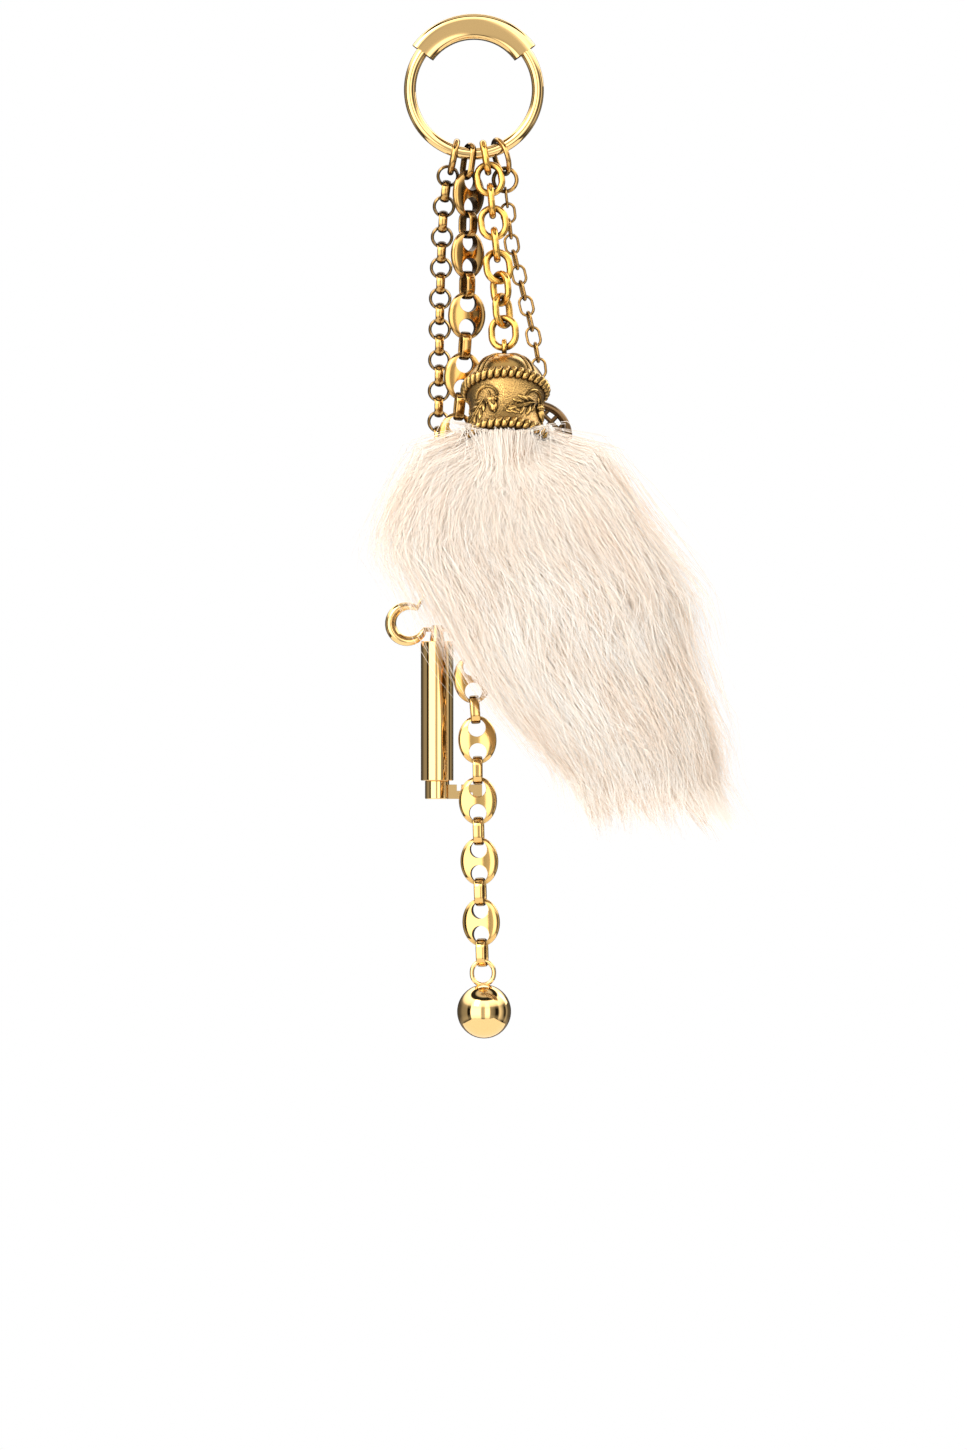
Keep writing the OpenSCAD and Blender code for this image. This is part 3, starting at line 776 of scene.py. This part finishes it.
as_piece("key_tube", turned("key_tube", "key_barrel"), polished, "key", ["key_barrel"])
as_piece("key_end", turned("key_end", "key_tip"), polished, "key", ["key_tip"])

# neck between the bow and the barrel
NECK_R, NECK_L, NECK_UP = (1.9, 1.3), 4.2, 1.9
neck = bmesh.new()
bmesh.ops.create_cone(neck, cap_ends=True, segments=32, radius1=NECK_R[0] * MM, radius2=NECK_R[1] * MM,
                      depth=NECK_L * MM,
                      matrix=Matrix.Translation((barrel_x, barrel_y, barrel_high.z + NECK_UP * MM)))
as_piece("key_neck", to_mesh("key_neck", neck), polished, "key")

# %% [markdown]
# ## The medallion
# A pierced disc: a round rim, a lattice of crossed bars and a boss where they meet. It hangs behind the
# tail and only its edge is seen from the front, so its metal is painted very dark as the tail's shade.

# %% Pierce the medallion
medal_low, medal_high = (Vector(corner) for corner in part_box("medallion"))
medal_middle = (medal_low + medal_high) / 2
MEDAL_R, MEDAL_T = 9.0, 2.2
medal_centre = Vector((medal_middle.x, medal_middle.y, medal_low.z + MEDAL_R * MM))


def upright(bm):
    """Turns a part made flat to face the front, at the medallion's centre."""
    bmesh.ops.transform(bm, verts=bm.verts,
                        matrix=Matrix.Translation(medal_centre) @ Matrix.Rotation(math.pi / 2, 4, "X"))
    return bm


RIM_HALF = 1.0
rim = spun([(MEDAL_R - RIM_HALF + RIM_HALF * math.cos(a), MEDAL_T / 2 * math.sin(a))
            for a in np.linspace(0, 2 * math.pi, 16, endpoint=False)], steps=64)
as_piece("medallion_rim", to_mesh("medallion_rim", upright(rim)), shade_dark_antique, node_body["medallion"],
         ["medallion"])
BAR_GAP, BAR_R = 2.6, 0.55
BOSS = (3, 3, 1.1)
bars = bmesh.new()
for turn_deg in (45, -45):
    for k in range(-3, 4):
        off = k * BAR_GAP
        half = math.sqrt(max((MEDAL_R - RIM_HALF) ** 2 - off * off, 0))
        if half < 1:
            continue
        place = (Matrix.Rotation(math.radians(turn_deg), 4, "Z") @ Matrix.Translation((0, off * MM, 0))
                 @ Matrix.Rotation(math.pi / 2, 4, "Y"))
        bmesh.ops.create_cone(bars, cap_ends=True, segments=10, radius1=BAR_R * MM, radius2=BAR_R * MM,
                              depth=2 * half * MM, matrix=place)
bmesh.ops.create_uvsphere(bars, u_segments=24, v_segments=12, radius=1,
                          matrix=Matrix.Diagonal((*(Vector(BOSS) * MM), 1)))
as_piece("medallion_lattice", to_mesh("medallion_lattice", upright(bars), merge=1e-9), shade_dark_antique,
         node_body["medallion"])

# %% [markdown]
# ## The tail
# The tail is a rolled strip of pelt whose hair springs from the cap's mouth, spreads like a brush and
# then falls with the weight of its own length. Three things make hair look real: strands thinner than
# the eye can follow, clumps that part and show shadow between them, and a loose outer layer that breaks
# the outline. Each strand here is a real tapered wire of a few dozen faces.

# %% Read the tail's shape from the frame
fur_mesh = nodes["tail_fur"].data
corners = np.empty(len(fur_mesh.vertices) * 3)
fur_mesh.vertices.foreach_get("co", corners)
levels = {}
for corner in corners.reshape(-1, 3) / MM:
    levels.setdefault(round(float(corner[2]), 1), []).append(corner)


def mouth_ring(down, radius):
    """Row of the tail's table for a ring square to the cap's axis, that far down from the dome's top."""
    middle_point = on_cap @ Vector((0, 0, -down * MM)) / MM
    return [-middle_point.z, *middle_point, radius, radius, math.degrees(CAP_LEAN)]


# rows of: distance down the tail, middle x, y and z, half width, half depth, lean
MOUTH_RINGS = [(-0.8, 7.2), (0.6, 8.8), (3.4, 15.5)]
rows = [mouth_ring(SKIRT_DOWN + below, half) for below, half in MOUTH_RINGS]
for height, ring in sorted(levels.items(), reverse=True):
    low, high = np.min(ring, axis=0), np.max(ring, axis=0)
    if len(ring) >= 20:
        rows.append([-height, *((low + high) / 2), (high[0] - low[0]) / 2, (high[1] - low[1]) / 2, 0])
rows = np.array(rows)
TAIL_TOP, TAIL_END = rows[0, 0], rows[-1, 0]
print("tail read at heights", rows[:, 0].round(1))


# the hair rises on both sides of the cap's mouth before it falls
SHOULDER, SHOULDER_AT, SHOULDER_SPAN = 10, 96, 7


def in_tail(down, angle, share):
    """Points of the tail by distance down, angle round it and share of its radius, all as arrays."""
    mid_x, mid_y, mid_z, wide, deep, lean = (np.interp(down, rows[:, 0], rows[:, k]) for k in range(1, 7))
    across, along = share * wide * np.cos(angle), share * deep * np.sin(angle)
    lean = np.radians(lean)
    near_mouth = np.exp(-((down - SHOULDER_AT) / SHOULDER_SPAN) ** 2)
    lift = SHOULDER * near_mouth * np.abs(np.cos(angle)) ** 3 * share
    y, z = mid_y + along * np.cos(lean), mid_z - along * np.sin(lean) + lift
    return np.stack([mid_x + across, y, z], axis=-1)


# %% Fill the core under the hair
CORE_SHARE = 0.62
bm = bmesh.new()
bmesh.ops.create_uvsphere(bm, u_segments=40, v_segments=24, radius=1)
for v in bm.verts:
    polar = math.acos(max(-1, min(1, v.co.z)))
    down = TAIL_TOP + 2 + (TAIL_END - TAIL_TOP - 12) * polar / math.pi
    v.co = Vector(in_tail(down, math.atan2(v.co.y, v.co.x), CORE_SHARE * math.sin(polar) ** 0.8)) * MM
core_mesh = to_mesh("tail_core", bm)


# %% [markdown]
# ### The coat's colour
# The hair is cream with warm sand in the depth, and four tints keep the locks apart.

# %% Mix the hair finishes
def hair_finish(name, tip, depth):
    finish = Finish(bpy.data.materials.new(name))
    streak = finish.noise(520, detail=3, stretch=(1, 1, 0.14))
    cloud = finish.noise(90, detail=2)
    mixed = (streak * 1.0 + cloud * 0.9 - 0.45).clamped()
    tone = finish.mix(mixed, depth, tip)
    surface = finish.node("BsdfPrincipled", Base_Color=tone, Roughness=0.55, Sheen_Weight=0.2,
                          Sheen_Roughness=0.4)
    finish.node("OutputMaterial", Surface=surface)
    return finish.owner


white_hair = hair_finish("white hair", (0.98, 0.96, 0.92), (0.96, 0.89, 0.80))
cream = hair_finish("cream hair", (0.97, 0.92, 0.85), (0.92, 0.80, 0.68))
beige = hair_finish("beige hair", (0.94, 0.84, 0.73), (0.84, 0.67, 0.53))
sand = hair_finish("sand hair", (0.82, 0.62, 0.44), (0.62, 0.41, 0.25))
# the hide colour is the pelt's leather, and on the core under the hair it is painted fur shade
hide_and_fur_shade = hair_finish("hide_and_fur_shade", (0.74, 0.56, 0.42), (0.60, 0.43, 0.30))
coat_part("tail_pelt", hide_and_fur_shade)
# the core wears the hide colour as painted shade: it stands for the shadow deep inside the fur
core = as_piece("tail_core", core_mesh, hide_and_fur_shade, "tail", ["tail_fur"])

# %% [markdown]
# ### Grooming
# A strand is planned in the tail's own terms: how far down it starts and ends, the side it grows on,
# and how far out from the middle it lies. Strands of one lock share most of that plan and draw together
# at their tips. All locks are planned at once with arrays, and a curve with a round bevel turns each
# plan into a closed, tapered strand. Eight sheets in four tints make the coat. Short hair covers the pelt
# at the front of the mouth, and a loose outer layer breaks the outline.

# %% Groom the coat
HAIR_SHEETS = 8
STRANDS = 4700
LOCKS = 170
POINTS = 5
HAIR_R = 0.08
# below this the tail no longer narrows, and its ends hang free
SPREAD_END = 171
rng = np.random.default_rng(7)


FIRST_ROOT, LAST_ROOT = 4, 22


def groom(strands, locks, lengths=(24, 44), reach=(0.80, 1.02), tight=0.3, spread=0.30, frizz=0.30,
          neck=0.28, sunk=0.32, front=False):
    """Strand paths as an array (strand, point, xyz) in millimetres.

    neck: share of locks that start at the mouth. sunk: how far inside its tip's share a root starts.
    front: only the locks that spring forwards from the mouth.
    """
    lock = rng.integers(0, locks, strands)
    from_mouth = rng.random(locks) < neck
    mouth_start = rng.random(locks) * (0.6 if front else FIRST_ROOT)
    lower_start = FIRST_ROOT + rng.random(locks) ** 0.9 * (TAIL_END - TAIL_TOP - LAST_ROOT)
    start = TAIL_TOP + np.where(from_mouth, mouth_start, lower_start)
    side = rng.normal(-math.pi / 2, 0.42, locks) if front else rng.uniform(0, 2 * math.pi, locks)
    length = rng.uniform(*lengths, locks)
    out = rng.uniform(*reach, locks)
    bend = rng.normal(0, 0.22, locks)
    steps = np.linspace(0, 1, POINTS)[None, :] ** (2.2 if front else 1.15)
    apart = 1 - (1 - tight) * steps ** 1.3
    own_side = rng.normal(0, spread, strands)[:, None] * apart
    own_out = rng.normal(0, 0.07, strands)[:, None] * apart
    own_start = np.abs(rng.normal(0, 0.3 if front else 2.5, strands))[:, None] * (1 - steps)
    last = TAIL_END + 5 - 26 * rng.random(locks) ** 1.3
    lock_length = np.minimum(length[lock], last[lock] - start[lock])[:, None]
    own_length = lock_length * rng.uniform(0.62, 1.12, (strands, 1))
    down = start[lock][:, None] + own_start + own_length * steps
    angle = side[lock][:, None] + own_side + bend[lock][:, None] * steps ** 1.5
    root = np.clip(out[lock] - sunk, 0.2, 1)[:, None]
    share = root + (out[lock][:, None] - root) * steps ** 0.55 + own_out
    over = np.clip(down - SPREAD_END, 0, None)
    paths = in_tail(np.minimum(down, SPREAD_END), angle, share)
    paths[..., 0] += over * 0.35
    paths[..., 2] -= over * 0.8
    return paths + rng.normal(0, frizz, (strands, POINTS, 3)) * steps[..., None]


def hair_piece(name, paths, material, radius=HAIR_R):
    taper = np.interp(np.linspace(0, 1, POINTS), [0, 0.5, 1], [1, 0.9, 0.14])
    lines = [np.column_stack([path * MM, taper * radius * MM]) for path in paths]
    mesh = swept(name, lines, sides=0)
    return as_piece(name, mesh, material, "tail")


tints = [cream, white_hair, sand, cream, beige, white_hair, beige, cream]
REACHES = {"white hair": (0.90, 1.06), "cream hair": (0.84, 1.04), "beige hair": (0.80, 1.03),
           "sand hair": (0.70, 0.97)}
for k in range(HAIR_SHEETS):
    piece = hair_piece(f"tail_hair_{k + 1}", groom(STRANDS, LOCKS, reach=REACHES[tints[k].name]), tints[k])
print("hair faces in the last sheet:", len(piece.data.polygons))

# %% Add the short and the loose hair
neck_paths = groom(2600, 90, lengths=(16, 36), reach=(0.96, 1.05), tight=0.6, spread=0.3, frizz=0.3,
                   neck=1.0, sunk=0.08, front=True)
hair_piece("tail_neck_hair", neck_paths, cream)
loose_paths = groom(2600, 900, lengths=(26, 52), reach=(1.0, 1.28), tight=0.9, spread=0.22, frizz=0.8,
                    neck=0.35)
hair_piece("tail_wisps", loose_paths, beige, radius=0.055)
shown_meshes = [item.data for item in scene.objects if item.type == "MESH" and not item.hide_render]
print("triangles in all:", sum(len(face.vertices) - 2 for mesh in shown_meshes for face in mesh.polygons))
